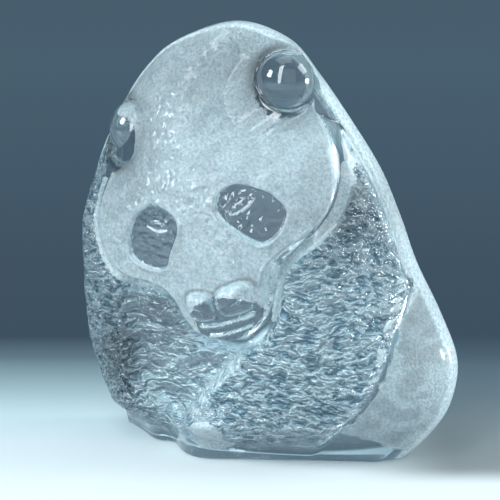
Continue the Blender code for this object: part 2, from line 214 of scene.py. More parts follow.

# Painted highlights: the bright frosted lines round the patches and along the lids and lips
PATCH_LINE = 0.9 * MM
PATCH_LINE_HALF = 0.4 * MM
LINE_SHARPNESS = 3
LID_LINE = 1.6
LIP_LINE = 1.5
LIPS_TOP = -26 * MM

# Painted shade: how much darker the glass is beside the ears, at the rump, round the nose and on the left
# arm; clouds darken the frost at random
EAR_MOAT_SHADE = 0.75
EAR_MOAT_SHADE_PLACE = 1.3 * MM
EAR_MOAT_SHADE_HALF = 1.4 * MM
EAR_SHADE_SIDE = 0.7
CLOUD_SHADE = 0.16
FINE_CLOUDS = 0.6
RUMP_SHADE = 0.20
NOSE_SHADE = 0.5
LEFT_ARM_SHADE = 0.2

# The nose's lobes: how much their frost is polished off, to where, and the line of painted shade beyond
LOBE_POLISH = 0.6
LOBE_EDGE = 1.05
LOBE_SHARPNESS = 6
LOBE_LINE = 1.15
LOBE_LINE_HALF = 0.10

# Painted shade, in places where the glass is darker: middle and half size across and up in millimetres, and
# how much
FUR_SHADE_ELSEWHERE = 0.55  # share of the fur's shades that its smooth neighbours take
RIM_SHADE_LOSS = 0.7  # share of the other shades that the rim doesn't take
FUR_PAINTED_SHADES = (
    (24, 14, 14, 9, 0.35),
    (33, 66, 11, 12, 0.72),
    (-17, 38, 8, 7, 0.45),
    (-29, 24, 9, 14, 0.80),
)
PAINTED_SHADES = (
    (-27, 78, 9, 16, 0.34),
    (-8, 99, 20, 9, 0.30),
    (12, 5, 18, 5, 0.30),
    (47, 40, 5, 9, 0.36),
)

# The outline, seen from the front, clockwise from the top, as shares of the height. The stretch below
# zero is ground away.
OUTLINE = (
    (-0.055, 1.000),
    (0.072, 0.966),
    (0.150, 0.886),
    (0.230, 0.783),
    (0.302, 0.678),
    (0.354, 0.566),
    (0.395, 0.462),
    (0.453, 0.352),
    (0.496, 0.244),
    (0.486, 0.150),
    (0.446, 0.075),
    (0.368, -0.010),
    (0.220, -0.150),
    (0.000, -0.215),
    (-0.210, -0.140),
    (-0.330, -0.030),
    (-0.371, 0.085),
    (-0.416, 0.200),
    (-0.434, 0.320),
    (-0.441, 0.430),
    (-0.438, 0.530),
    (-0.422, 0.625),
    (-0.388, 0.715),
    (-0.338, 0.810),
    (-0.275, 0.895),
    (-0.197, 0.956),
)
OUTLINE_CENTRE = (0.010, 0.440)

# How far the underside reaches forward of the parting line, by its place across
BASE_PLAN = (
    (-42.0, 0.0),
    (-38.5, 1.4),
    (-35.4, 3.8),
    (-29.9, 8.2),
    (-25.5, 12.6),
    (-23.0, 14.0),
    (-21.0, 13.6),
    (-19.2, 12.8),
    (-17.4, 14.6),
    (-12.8, 20.6),
    (-8.0, 23.6),
    (-4.0, 23.2),
    (3.0, 20.6),
    (14.0, 16.6),
    (23.0, 13.2),
    (33.0, 9.6),
    (41.0, 7.0),
)
PLAN_SHIFTS = (-1.8, -0.9, 0.0, 0.9, 1.8)  # the plan is averaged over these shifts across, which rounds it
BASE_BLEND = 12.0 * MM  # height above the underside over which the figure swells out of that plan

# The head is symmetric about its own upright, which leans to the left
HEAD_CENTRE = (-3.5 * MM, 65.0 * MM)
HEAD_LEAN = math.radians(17)
HEAD_HALF = (
    (0.0, 62.0),
    (21.0, 52.0),
    (24.6, 32.0),
    (25.7, 19.2),
    (28.3, 14.9),
    (30.8, 10.2),
    (32.3, 4.0),
    (32.1, -1.9),
    (29.9, -7.3),
    (25.5, -11.3),
    (19.7, -13.6),
    (14.9, -16.4),
    (12.4, -20.5),
    (11.6, -24.5),
    (8.8, -29.4),
    (0.0, -33.0),
)
# the dark patches round the eyes, across and up from the head's centre
RIGHT_PATCH = (
    (7.4, 3.2),
    (9.6, 5.0),
    (12.8, 5.0),
    (17.9, 1.8),
    (20.8, -2.1),
    (21.4, -5.4),
    (18.4, -9.6),
    (14.6, -10.6),
    (10.4, -6.7),
    (6.6, -0.8),
)
LEFT_PATCH = (
    (-12.6, 5.3),
    (-9.6, 4.4),
    (-5.6, 1.4),
    (-5.2, -2.2),
    (-9.6, -7.6),
    (-12.0, -10.6),
    (-16.4, -10.4),
    (-21.4, -7.2),
    (-22.2, -3.4),
    (-18.6, 3.0),
)
EYE_MIDDLE = (12.2 * MM, -0.5 * MM)
EYE_HALF_LENGTH = 3.9 * MM
EYE_SLANT = math.radians(22)
LOWER_LID = 0.95 * MM  # how far the lower lid sags under the line between the eye's corners
UPPER_LID = 1.1 * MM
EYE_FOLD = 2.3 * MM
EYE_RISE = 0.35 * MM
EARS = (
    # across, up, the height of the ball's middle, how far the head falls away round it, and how far
    # the ball leans out across and up for each unit of height
    (19.05 * MM, 25.9 * MM, 6.0 * MM, 7.5 * MM, (0.494, 0.093)),
    (-22.7 * MM, 24.5 * MM, 5.8 * MM, 0.5 * MM, (0.0, 0.0)),
)
NOSE_LOBE = (5.3 * MM, -22.2 * MM)
NOSE_HALF_SIZE = (5.0 * MM, 3.9 * MM)
MUZZLE_TURN = 1.25  # the muzzle's left side is this much narrower, since the head is turned a little
UPPER_LIP = -27.9 * MM
LOWER_LIP = -30.6 * MM

# The limbs and the rump, seen from the front, in millimetres
RIGHT_ARM = (
    (16, 106), (32, 88), (44, 70), (51, 58), (54, 46), (52, 34), (46, 20), (38, 6), (30, -6), (18, -16),
    (-14, -16), (-13, 2), (-9, 12), (0, 22), (8, 32), (13.5, 38.5), (16, 46), (18.4, 52.5),
    (23.2, 60.5), (28, 70), (27, 80), (22, 92),
)
LEFT_ARM = (
    (-22, 106), (-30, 86), (-33, 70), (-31, 56), (-27, 46), (-27, 36), (-25, 24), (-19, 12), (-13, 4),
    (-16, -4), (-30, -10), (-45, 0), (-58, 30), (-58, 60), (-48, 90), (-32, 104),
)
RUMP = (
    (41.5, 67), (42.4, 58), (43.4, 48.4), (43.6, 42), (43, 36.5), (41, 27), (36.4, 18.2), (30.6, 11.4),
    (22.6, 3.2), (16, -6), (20, -20), (50, -20), (70, 20), (62, 50), (52, 66),
)
PAW_MIDDLE = (-2.5 * MM, 8.5 * MM)
PAW_HALF_SIZE = (8.5 * MM, 6.5 * MM)
PAW_REACH = 1.15

# Mesh density, and the underside's broken edge
FRONT_CELLS = 305
BACK_RINGS = (0.35, 0.9, 1.7, 2.8, 4.2, 5.6, 7.0)  # millimetres in from the outline
ARRIS = 0.15 * MM
ARRIS_SLOPE = 0.9
CUT_TOLERANCE = 1e-6


def closed_curve(points, steps):
    """A smooth closed curve through the points."""
    corners = np.asarray(points, float)
    count = len(corners)
    along = np.arange(steps) * count / steps
    first = along.astype(int)
    part = (along - first)[:, None]
    a, b, c, d = (corners[(first + k) % count] for k in (-1, 0, 1, 2))
    bend = 2 * a - 5 * b + 4 * c - d
    return 0.5 * (2 * b + (c - a) * part + bend * part**2 + (3 * b - a - 3 * c + d) * part**3)


def signed_distance(x, z, loop):
    """The distance to a closed loop, positive inside it."""
    nearest = np.full(x.shape, 1.0)
    inside = np.zeros(x.shape, bool)
    for (ax, az), (bx, bz) in zip(loop, np.roll(loop, -1, 0)):
        ex = bx - ax
        ez = bz - az
        along = np.clip(((x - ax) * ex + (z - az) * ez) / (ex * ex + ez * ez), 0, 1)
        nearest = np.minimum(nearest, (x - ax - along * ex) ** 2 + (z - az - along * ez) ** 2)
        if ez:
            inside ^= ((az > z) != (bz > z)) & (x < ex * (z - az) / ez + ax)
    return np.where(inside, 1, -1) * np.sqrt(nearest)


def ease(value):
    """A smooth step from 0 to 1."""
    value = np.clip(value, 0, 1)
    return value * value * (3 - 2 * value)


def blend(low, high, weight):
    return low + (high - low) * weight


def swell(value):
    """A rounded ridge, 1 on its line."""
    return np.exp(-(value**2))


def head_frame(x, z):
    """Across and up in the head's own leaning frame."""
    dx = x - HEAD_CENTRE[0]
    dz = z - HEAD_CENTRE[1]
    across = dx * math.cos(HEAD_LEAN) + dz * math.sin(HEAD_LEAN)
    return across, dz * math.cos(HEAD_LEAN) - dx * math.sin(HEAD_LEAN)


def head_loop():
    left_half = [(-across, up) for across, up in reversed(HEAD_HALF) if across]
    return closed_curve(np.array(list(HEAD_HALF) + left_half) * MM, 240)


def outline_radius(angle):
    """The outline's distance from its centre in each direction."""
    loop = (closed_curve(OUTLINE, 720) - np.array(OUTLINE_CENTRE)) * HEIGHT
    turn = np.arctan2(loop[:, 1], loop[:, 0])
    order = np.argsort(turn)
    return np.interp(angle, turn[order], np.hypot(loop[:, 0], loop[:, 1])[order], period=2 * math.pi)


def lattice_noise(x, z, seed):
    """Smooth noise between about -1 and 1 with a pitch of 1 both ways."""
    size = 64
    turn = np.random.default_rng(seed).random((size, size)) * 2 * math.pi
    column = np.floor(x).astype(int)
    row = np.floor(z).astype(int)
    fx = x - column
    fz = z - row
    total = np.zeros(x.shape)
    for i in (0, 1):
        for j in (0, 1):
            angle = turn[(column + i) % size, (row + j) % size]
            slope = np.cos(angle) * (fx - i) + np.sin(angle) * (fz - j)
            total += slope * ease(1 - np.abs(fx - i)) * ease(1 - np.abs(fz - j))
    return 1.6 * total


def fur_swells(x, z):
    """The coarse, mostly level waves of the fur."""
    sway = 1.5 * MM * lattice_noise(x / (14 * MM), z / (14 * MM), FUR_SEED + 1)
    return FUR_HEIGHT * lattice_noise(x / FUR_PITCH_ACROSS, (z + sway) / FUR_PITCH_UP, FUR_SEED)


def noise(name, x, z):
    """One of the named noises."""
    pitch_across, pitch_up, seed = NOISES[name]
    return lattice_noise(x / (pitch_across * MM), z / (pitch_up * MM), FUR_SEED + seed)


def strokes(along, over):
    """Short wavy ripples with broad tops and narrow grooves."""
    drift = STROKE_DRIFT[0] * noise("stroke drift", along, over)
    drift = drift + STROKE_DRIFT[1] * noise("stroke sway", along, over)
    crest = 0.5 + 0.5 * np.sin(2 * math.pi * (over / STROKE_PITCH + drift))
    strength = blend(STROKE_FAINTEST, 1, ease(0.5 + noise("stroke strength", along, over)))
    ripple = STROKE_DEPTH * strength * (crest**STROKE_POWER - STROKE_MEAN)
    return ripple + STROKE_ENDS * noise("stroke ends", along, over)


def fur_strokes(x, z, on_left_arm, on_arm):
    """The fur's fine carving: level strokes on the arms, slanting nicks on the belly."""
    level = strokes(x, z + STROKE_FALL * x)
    along = NICK_FALL[0] * x - NICK_FALL[1] * z
    over = NICK_FALL[1] * x + NICK_FALL[0] * z
    nicks = ease(1.6 * noise("nicks", along, over) - 0.2)
    slant = BELLY_LUMPS * noise("belly lumps", x, z) - NICK_DEPTH * nicks
    return blend(slant, (1 + LEFT_ARM_BOLD * on_left_arm) * level, on_arm)


def skin_grain(x, z, across, up):
    """The frosted head's soft lumps, strongest on the forehead and gone towards the muzzle."""
    forehead = swell(across / SKIN_HALF[0]) * swell((up - SKIN_UP) / SKIN_HALF[1])
    rough = blend(SKIN_LEAST, 1, forehead) * ease((up - SKIN_FOOT) / SKIN_FOOT_FADE)
    return rough * (SKIN_LUMPS * noise("skin lumps", x, z) + SKIN_FINE * noise("skin grain", x, z))


def eye_relief(across, up):
    """The lids, the ball and the fold over a half-closed eye."""
    dx = across - EYE_MIDDLE[0]
    dz = up - EYE_MIDDLE[1]
    along = (dx * math.cos(EYE_SLANT) + dz * math.sin(EYE_SLANT)) / EYE_HALF_LENGTH
    over = dz * math.cos(EYE_SLANT) - dx * math.sin(EYE_SLANT)
    opening = np.clip(1 - along**2, 0, None)
    lower = over + LOWER_LID * opening
    upper = over - UPPER_LID * opening
    ball = EYE_RISE * ease(lower / LID_WIDTH + 0.5) * ease(-upper / LID_WIDTH + 0.5)
    lids = LID_HEIGHT * (swell(lower / LID_WIDTH) + 0.7 * swell((upper - LID_WIDTH) / LID_WIDTH))
    fold = 0.5 * LID_HEIGHT * swell((over - EYE_FOLD * opening - 0.8 * MM) / LID_WIDTH)
    return (ball + lids + fold) * np.sqrt(opening)


def nose_relief(side, up):
    """Two lobes with a groove between them, a nostril slit in each, and the lips below."""
    dx = side - NOSE_LOBE[0]
    dz = up - NOSE_LOBE[1]
    round_x = np.abs(dx / NOSE_HALF_SIZE[0])
    round_z = np.abs((dz - 0.1 * dx) / NOSE_HALF_SIZE[1])
    lobe = np.sqrt(np.clip(1 - round_x**3 - round_z**3, 0, 1))
    slit_x = (dx - 0.9 * MM) / (2.6 * MM)
    slit_z = (dz + 0.4 * MM - 0.45 * (dx - 0.9 * MM)) / (0.6 * MM)
    slit = 0.7 * MM * np.exp(-(slit_x**2) - slit_z**2)
    smile = 0.013 * side**2 / MM
    upper = swell((up - UPPER_LIP - smile) / LIP_WIDTH) * ease((9.5 * MM - side) / (2 * MM))
    lower = swell((up - LOWER_LIP - smile) / LIP_WIDTH) * ease((8 * MM - side) / (2 * MM))
    return NOSE_RISE * lobe - slit + LIP_RISE * (upper + 0.85 * lower)


def leaning_ball(dx, dz, lean):
    """The front of a ball over its middle, at points that move by the lean as they rise."""
    stretch = 1 + lean[0] ** 2 + lean[1] ** 2
    out = lean[0] * dx + lean[1] * dz
    inside = out**2 - stretch * (dx**2 + dz**2 - EAR_RADIUS**2)
    return np.where(inside > 0, (np.sqrt(np.clip(inside, 0, None)) - out) / stretch, -EAR_RADIUS)


def ear_lean(x, z, height):
    """How far the surface moves across and up where an ear leans out over the rim."""
    across, up = head_frame(x, z)
    move_across = np.zeros(x.shape)
    move_up = np.zeros(x.shape)
    for ear_across, ear_up, *_, lean in EARS:
        away = np.hypot(across - ear_across, up - ear_up)
        share = ease(1 - (away - EAR_RADIUS - EAR_MOAT_WIDTH) / EAR_LEAN_FADE)
        move_across += lean[0] * height * share
        move_up += lean[1] * height * share
    move_x = move_across * math.cos(HEAD_LEAN) - move_up * math.sin(HEAD_LEAN)
    return move_x, move_across * math.sin(HEAD_LEAN) + move_up * math.cos(HEAD_LEAN)


def relief(x, z, share, radius):
    """How far the front stands forward of the parting line, how frosted it is with its painted highlights,
    how furred it is, and its painted shade and random clouds.

    share: place on the ray from the outline's centre, 0 there and 1 at the outline.
    radius: length of that ray.
    """
    inset = (1 - share) * radius
    across, up = head_frame(x, z)

    # the slab's rim and the dome that every region rides on, flatter over the rump and the crown
    rim = RIM_RISE * np.sqrt(1 - (1 - np.clip(inset / RIM_WIDTH, 0, 1)) ** 2)
    rump = signed_distance(x, z, closed_curve(np.array(RUMP) * MM, 120))
    on_rump = ease(rump / RUMP_EDGE + 0.5)
    left = ease((-x - LEFT_START) / FLANK_BLEND) * ease((FLANK_TOP - z) / FLANK_TOP_BLEND)
    crown = ease((up - CROWN_START) / CROWN_BLEND)
    right = ease(across / FLANK_TOP_BLEND + 0.5)
    out = np.clip(1 - (inset - RIM_WIDTH) / (radius - RIM_WIDTH), 0, 1)
    power = blend(blend(2.3, 3.0, left), blend(2.0, 1.6, right), crown)
    steepness = blend(blend(0.5, blend(0.65, 0.8, right), crown), 0.75, on_rump)
    dome = (1 - out**power) ** steepness

    # the regions, each over the one before
    rise = np.full(x.shape, BELLY_RISE)
    left_arm = signed_distance(x, z, closed_curve(np.array(LEFT_ARM) * MM, 160))
    on_left_arm = ease(left_arm / LEFT_ARM_EDGE + 0.5)
    rise = blend(rise, LEFT_ARM_RISE, on_left_arm)
    right_arm = signed_distance(x, z, closed_curve(np.array(RIGHT_ARM) * MM, 160))
    on_right_arm = ease(right_arm / ARM_EDGE + 0.5)
    rise = blend(rise, RIGHT_ARM_RISE, on_right_arm)
    on_arm = np.maximum(on_right_arm, on_left_arm)
    rise = blend(rise, RUMP_RISE, on_rump)
    head = signed_distance(across, up, head_loop())
    channel = swell((head + CHANNEL_OFFSET) / CHANNEL_WIDTH) * ease((CHANNEL_TOP - up) / CHANNEL_FADE)
    rise = rise - CHANNEL_DEPTH * channel
    forehead = swell(across / FOREHEAD_HALF[0]) * swell((up - FOREHEAD_UP) / FOREHEAD_HALF[1])
    muzzle = swell(across / MUZZLE_HALF[0]) * swell((up - MUZZLE_UP) / MUZZLE_HALF[1])
    face = HEAD_RISE + FOREHEAD_RISE * forehead + MUZZLE_RISE * muzzle
    rise = blend(rise, face, ease(head / HEAD_EDGE + 0.5))
    height = rim + dome * rise

    # the fur's swells, kept off the head, the channel, the rump, the rim and the underside
    furred = ease((-head - CHANNEL_OFFSET) / FUR_FADE) * ease((-rump + FUR_OVER_RUMP) / FUR_FADE)
    furred = furred * ease((inset - RIM_WIDTH) / FUR_RIM_FADE) * ease((z - FUR_FOOT) / FUR_FOOT_FADE)
    height = height + furred * fur_swells(x, z)

    # the fur's fine carving, kept off the paw and the forearm's upper side
    forearm = ease(signed_distance(x, z, np.array(FOREARM) * MM) / FOREARM_EDGE + 0.5)
    paw_x = (x - PAW_MIDDLE[0]) / PAW_HALF_SIZE[0]
    paw_z = (z - PAW_MIDDLE[1]) / PAW_HALF_SIZE[1]
    paw = ease(PAW_REACH - np.hypot(paw_x, paw_z))
    furred = furred * (1 - FOREARM_SMOOTH * forearm) * (1 - paw)
    fur = ease(furred * FUR_SHARPNESS)
    height = height + furred * fur_strokes(x, z, on_left_arm, on_arm)

    # the beaded edges of the arm and the head, and the head's lumpy skin
    line_start = ease((rump - EDGE_LINE_START) / EDGE_LINE_START_FADE)
    edge_line = line_start * ease((EDGE_LINE_END - rump) / EDGE_LINE_END_FADE)
    beads = blend(BEAD_MEAN, 1, noise("beads", x, z))
    height = height + EDGE_BEADS * edge_line * beads * ease((inset - EDGE_LINE_FROM_RIM) / MM)
    head_line = swell((head - HEAD_BEAD_PLACE) / HEAD_BEAD_HALF)
    height = height + HEAD_BEAD * head_line * ease((HEAD_BEAD_TOP - up) / HEAD_BEAD_TOP)
    skin = ease((head - SKIN_FROM_HEAD_EDGE) / SKIN_EDGE_FADE)
    skin *= ease((inset - SKIN_FROM_RIM) / SKIN_EDGE_FADE)
    for ear_across, ear_up, *_ in EARS:
        beyond = np.hypot(across - ear_across, up - ear_up) - EAR_RADIUS - SKIN_FROM_EAR
        skin *= ease(beyond / SKIN_EAR_FADE)
    height = height + skin * skin_grain(x, z, across, up)
    height = height + PAW_RISE * paw

    # the eye patches, eyes, nose and lips
    clear = np.zeros(x.shape)
    shade_and_mottle = np.ones(x.shape)
    highlight_lines = np.zeros(x.shape)
    for loop in (RIGHT_PATCH, LEFT_PATCH):
        patch = signed_distance(across, up, closed_curve(np.array(loop) * MM, 64))
        clear = np.maximum(clear, ease(patch / FROST_EDGE + 0.5 + PATCH_CLEAR_PAST))
        # a line of painted highlight round each patch
        line = swell((patch + PATCH_LINE) / PATCH_LINE_HALF)
        highlight_lines = np.maximum(highlight_lines, line * ease(1.6 * beads - 0.3))
        height = height - PATCH_DEPTH * ease(patch / PATCH_BEVEL + 0.5)
        height = height + PATCH_EDGE * swell((patch + 0.75 * PATCH_BEVEL) / (0.6 * PATCH_BEVEL))
    side = np.where(across < 0, -MUZZLE_TURN * across, across)
    eyes = eye_relief(np.abs(across), up)
    nose = nose_relief(side, up)
    height = height + eyes + nose

    # the ears, each a clear ball in a dish with a narrow moat round it, and painted shade in that moat
    ragged = EAR_CLEAR_RAGGED * noise("ear edge", x, z)
    for ear_across, ear_up, ear_middle, dish_depth, lean in EARS:
        away = np.hypot(across - ear_across, up - ear_up)
        dish = dish_depth * ease(1 - (away - EAR_RADIUS) / EAR_DISH_WIDTH)
        moat = EAR_MOAT_DEPTH * ease(1 - (away - EAR_RADIUS) / EAR_MOAT_WIDTH)
        height = np.maximum(height - dish - moat, rim)
        ball = ear_middle + leaning_ball(across - ear_across, up - ear_up, lean)
        height = np.maximum(height, np.minimum(ball, rim + EAR_SLOPE * inset))
        clear_radius, shift_across, shift_up = EAR_CLEAR if ear_across > 0 else LEFT_EAR_CLEAR
        around = np.hypot(across - ear_across + shift_across, up - ear_up + shift_up)
        clear = np.maximum(clear, ease((clear_radius - around + ragged) / FROST_EDGE + 0.5))
        beside = ease(EAR_SHADE_SIDE * (1 - (across - ear_across) / np.maximum(away, MM)))
        round_ear = swell((away - EAR_RADIUS - EAR_MOAT_SHADE_PLACE) / EAR_MOAT_SHADE_HALF)
        shade_and_mottle *= 1 - EAR_MOAT_SHADE * beside * round_ear

    # the figure draws in to the plan of the underside
    plan = np.array(BASE_PLAN) * MM
    reach = np.mean([np.interp(x + shift * MM, plan[:, 0], plan[:, 1]) for shift in PLAN_SHIFTS], 0)
    drawn_in = ease(1 - z / BASE_BLEND)
    height = blend(height, np.minimum(height, reach), drawn_in)

    # frosted: the head but for its patches, nose and ears, the rump and the rim
    from_nose = np.hypot(side / NOSE_CLEAR[0], (up - NOSE_CLEAR_UP) / NOSE_CLEAR[1])
    clear = np.maximum(clear, ease((1 - from_nose) * NOSE_CLEAR_SHARPNESS + 0.5))
    frost_head = ease(head / FROST_EDGE) * (1 - clear)
    uneven = RUMP_RAGGED[0] * noise("rump edge", x, z) + RUMP_RAGGED[1] * noise("fine rump edge", x, z)
    foot = z - RUMP_FOOT[1] + RUMP_FOOT_FALL * (x - RUMP_FOOT[0]) + uneven
    frost_rump = ease((rump + uneven - RUMP_FROST_START) / RUMP_FROST_EDGE)
    frost_rump *= ease(foot / RUMP_FOOT_EDGE + 0.5)
    frost_rim = ease((RIM_FROST - inset) / FROST_EDGE) * (1 - left) * (1 - clear)
    frost_and_highlights = np.maximum(np.maximum(frost_head, frost_rump), frost_rim)

    # the channel beside the head is satin
    satin = CHANNEL_FROST * channel * ease((-head - CHANNEL_FROST_START) / CHANNEL_FROST_EDGE) * (1 - clear)
    satin_top = np.where(across < 0, *CHANNEL_FROST_TOP)
    satin *= ease((satin_top - up) / CHANNEL_FROST_TOP_FADE)
    satin *= ease((up - CHANNEL_FROST_FOOT) / CHANNEL_FROST_FOOT_FADE)
    frost_and_highlights = np.maximum(frost_and_highlights, satin)

    # painted shade darkens the glass on the left arm, at the rump, round the nose and in places; clouds
    # darken the frost at random
    shade_and_mottle *= 1 - LEFT_ARM_SHADE * fur * on_left_arm
    clouds = noise("clouds", x, z) + FINE_CLOUDS * noise("fine clouds", x, z)
    shade_and_mottle *= 1 - CLOUD_SHADE * (1 - frost_rim) * np.maximum(frost_head, frost_rump) * ease(0.5 + clouds)
    shade_and_mottle *= 1 - RUMP_SHADE * frost_rump * (1 - frost_rim) * (0.6 + 0.8 * ease(0.5 + 1.4 * clouds))
    lobe_x = (side - NOSE_LOBE[0]) / NOSE_HALF_SIZE[0]
    lobe_z = (up - NOSE_LOBE[1]) / NOSE_HALF_SIZE[1] - 0.1 * lobe_x
    lobe = (np.abs(lobe_x) ** 3 + np.abs(lobe_z) ** 3) ** (1 / 3)
    frost_and_highlights *= 1 - LOBE_POLISH * ease((LOBE_EDGE - lobe) * LOBE_SHARPNESS)
    shade_and_mottle *= 1 - NOSE_SHADE * swell((lobe - LOBE_LINE) / LOBE_LINE_HALF) * ease(lobe_z * 2)
    by_fur = np.maximum(fur, FUR_SHADE_ELSEWHERE)
    by_rim = 1 - RIM_SHADE_LOSS * frost_rim
    for places, mask in ((FUR_PAINTED_SHADES, by_fur), (PAINTED_SHADES, by_rim)):
        for middle_x, middle_z, half_x, half_z, loss in places:
            within = swell((x / MM - middle_x) / half_x) * swell((z / MM - middle_z) / half_z)
            shade_and_mottle *= 1 - loss * mask * within

    # the brightest frost, on the edges of the carving, is a painted highlight; the forearm and paw take
    # satin
    highlight_lines = np.maximum(highlight_lines, ease(LINE_SHARPNESS * eyes / LID_HEIGHT - LID_LINE))
    lips = ease(LINE_SHARPNESS * nose / LIP_RISE - LIP_LINE) * ease((LIPS_TOP - up) / MM)
    highlight_lines = np.maximum(highlight_lines, lips)
    frost_and_highlights = np.maximum(frost_and_highlights, HIGHLIGHT_FROST * highlight_lines)
    frost_and_highlights = np.maximum(frost_and_highlights, FOREARM_FROST * forearm * ease(2 * beads - 0.3))
    frost_and_highlights = np.maximum(frost_and_highlights, PAW_FROST * paw)
    frost_and_highlights = frost_and_highlights + frost_rim * (1 - highlight_lines)
    edge_line *= ease(3 * beads - 0.8) * ease((z - EDGE_LINE_FOOT) / EDGE_LINE_FOOT_FADE)
    frost_and_highlights = np.maximum(frost_and_highlights, EDGE_HIGHLIGHT_FROST * edge_line)
    return height, frost_and_highlights, fur * blend(BELLY_FUR, 1, on_arm), shade_and_mottle


def disc_grid(cells):
    """A square grid drawn out to a disc, with no pole at its middle."""
    line = np.linspace(-1, 1, cells + 1)
    a, b = np.meshgrid(line, line)
    wide = np.abs(a) >= np.abs(b)
    reach = np.where(wide, a, b)
    angle = np.where(
        wide,
        math.pi / 4 * b / np.where(a == 0, 1, a),
        math.pi / 2 - math.pi / 4 * a / np.where(b == 0, 1, b),
    )
    return reach * np.cos(angle), reach * np.sin(angle)


def casting_mesh():
    """The relief in front and rings over the rounded edge to the flat back."""
    disc_x, disc_z = disc_grid(FRONT_CELLS)
    share = np.hypot(disc_x, disc_z)
    angle = np.arctan2(disc_z, disc_x)
    radius = outline_radius(angle)
    centre_x = OUTLINE_CENTRE[0] * HEIGHT
    centre_z = OUTLINE_CENTRE[1] * HEIGHT
    x = centre_x + share * radius * np.cos(angle)
    z = centre_z + share * radius * np.sin(angle)
    height, frost_and_highlights, fur, shade_and_mottle = relief(x, z, share, radius)
    move_x, move_z = ear_lean(x, z, height)
    points = [np.stack([x + move_x, -height, z + move_z], -1).reshape(-1, 3)]
    frost_and_highlight_values = [frost_and_highlights.ravel()]
    number = np.arange(share.size).reshape(share.shape)
    quads = np.stack([number[:-1, :-1], number[:-1, 1:], number[1:, 1:], number[1:, :-1]], -1)
    faces = quads.reshape(-1, 4).tolist()

    ring = np.concatenate([number[0, :-1], number[:-1, -1], number[-1, :0:-1], number[:0:-1, 0]])
    ring_angle = angle.ravel()[ring]
    ring_radius = radius.ravel()[ring]
    total = share.size
    outer = ring
    for inset in BACK_RINGS:
        reach = ring_radius - inset * MM
        depth = BACK_CROWN * math.sqrt(1 - (1 - min(inset * MM / BACK_ROUND, 1)) ** 2)
        px = centre_x + reach * np.cos(ring_angle)
        pz = centre_z + reach * np.sin(ring_angle)
        points.append(np.stack([px, np.full(px.shape, depth), pz], -1))
        frost_and_highlight_values.append(frost_and_highlights.ravel()[ring] * min(1, max(0, 2 - inset / RIM_FROST_BEHIND)))
        inner = total + np.arange(len(ring))
        total += len(ring)
        strip = np.stack([outer, inner, np.roll(inner, -1), np.roll(outer, -1)], -1)
        faces += strip.tolist()
        outer = inner
    faces.append(outer[::-1].tolist())

    mesh = bpy.data.meshes.new("panda_casting")
    mesh.from_pydata(np.concatenate(points).tolist(), [], faces)
    behind = total - fur.size
    fur = np.append(fur, np.zeros(behind))
    shade_and_mottle = np.append(shade_and_mottle, np.ones(behind))
    for name, values in (("frost_and_highlights", np.concatenate(frost_and_highlight_values)), ("fur", fur), ("shade_and_mottle", shade_and_mottle)):
        layer = mesh.attributes.new(name, "FLOAT", "POINT")
        layer.data.foreach_set("value", values.astype(np.float32))
    return mesh


def grind_underside(mesh):
    """Cuts the casting flat at zero and breaks the cut's edge."""
    body = bmesh.new()
    body.from_mesh(mesh)
    for level, clear in ((ARRIS, False), (0.0, True)):
        everything = body.verts[:] + body.edges[:] + body.faces[:]
        cut = bmesh.ops.bisect_plane(
            body,
            geom=everything,
            plane_co=(0, 0, level),
            plane_no=(0, 0, -1),
            clear_outer=clear,
            dist=CUT_TOLERANCE,
        )
    ring = [piece for piece in cut["geom_cut"] if isinstance(piece, bmesh.types.BMEdge)]
    filled = bmesh.ops.holes_fill(body, edges=ring, sides=0)["faces"]
    bmesh.ops.recalc_face_normals(body, faces=body.faces)
    for face in body.faces:
        face.smooth = True
    for face in filled:
        face.smooth = False
        for edge in face.edges:
            edge.smooth = False
        middle = face.calc_center_median()
        corners = list(face.verts)
        moves = []
        for number, vert in enumerate(corners):
            along = corners[(number + 1) % len(corners)].co - corners[number - 1].co
            inward = Vector((along.y, -along.x, 0)).normalized()
            if inward.dot(middle - vert.co) < 0:
                inward.negate()
            moves.append(inward * ARRIS * ARRIS_SLOPE)
        for vert, move in zip(corners, moves):
            vert.co += move
    body.to_mesh(mesh)
    body.free()


def place_over_frame(mesh):
    """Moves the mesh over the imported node, which has the same outline."""
    low, high = (Vector(corner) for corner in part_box("glass_panda"))
    points = np.empty(len(mesh.vertices) * 3)
    mesh.vertices.foreach_get("co", points)
    points = points.reshape(-1, 3)
    middle = (points.min(0) + points.max(0)) / 2
    shift = Vector(((low.x + high.x) / 2 - middle[0], high.y - points.max(0)[1], low.z))
    mesh.transform(Matrix.Translation(shift))
    return shift


def new_material(name):
    material = bpy.data.materials.new(name)
    material.use_nodes = True
    return material, material.node_tree.nodes, material.node_tree.links


def darkened_by_shade_and_mottle(nodes, links, colour):
    """The colour, darkened by the casting's painted shade and its random clouds."""
    shade_and_mottle = nodes.new("ShaderNodeAttribute")
    shade_and_mottle.attribute_name = "shade_and_mottle"
    scaled = nodes.new("ShaderNodeVectorMath")
    scaled.operation = "SCALE"
    links.new(colour, scaled.inputs[0])
    links.new(shade_and_mottle.outputs["Fac"], scaled.inputs["Scale"])
    return scaled.outputs["Vector"]


def clear_glass():
    """Polished glass."""
    material, nodes, links = new_material("clear_glass")
    shader = nodes["Principled BSDF"]
    shader.inputs["Roughness"].default_value = 0.02
    shader.inputs["Transmission Weight"].default_value = 0.975
    shader.inputs["IOR"].default_value = 1.5
    shader.inputs["Coat Weight"].default_value = 0.5
    shader.inputs["Coat Roughness"].default_value = 0.02
    tint = nodes.new("ShaderNodeRGB")
    tint.outputs[0].default_value = (0.82, 0.955, 1.0, 1)
    # the tint takes the painted shade, darkest in the ears' moats
    links.new(darkened_by_shade_and_mottle(nodes, links, tint.outputs[0]), shader.inputs["Base Color"])
    return material


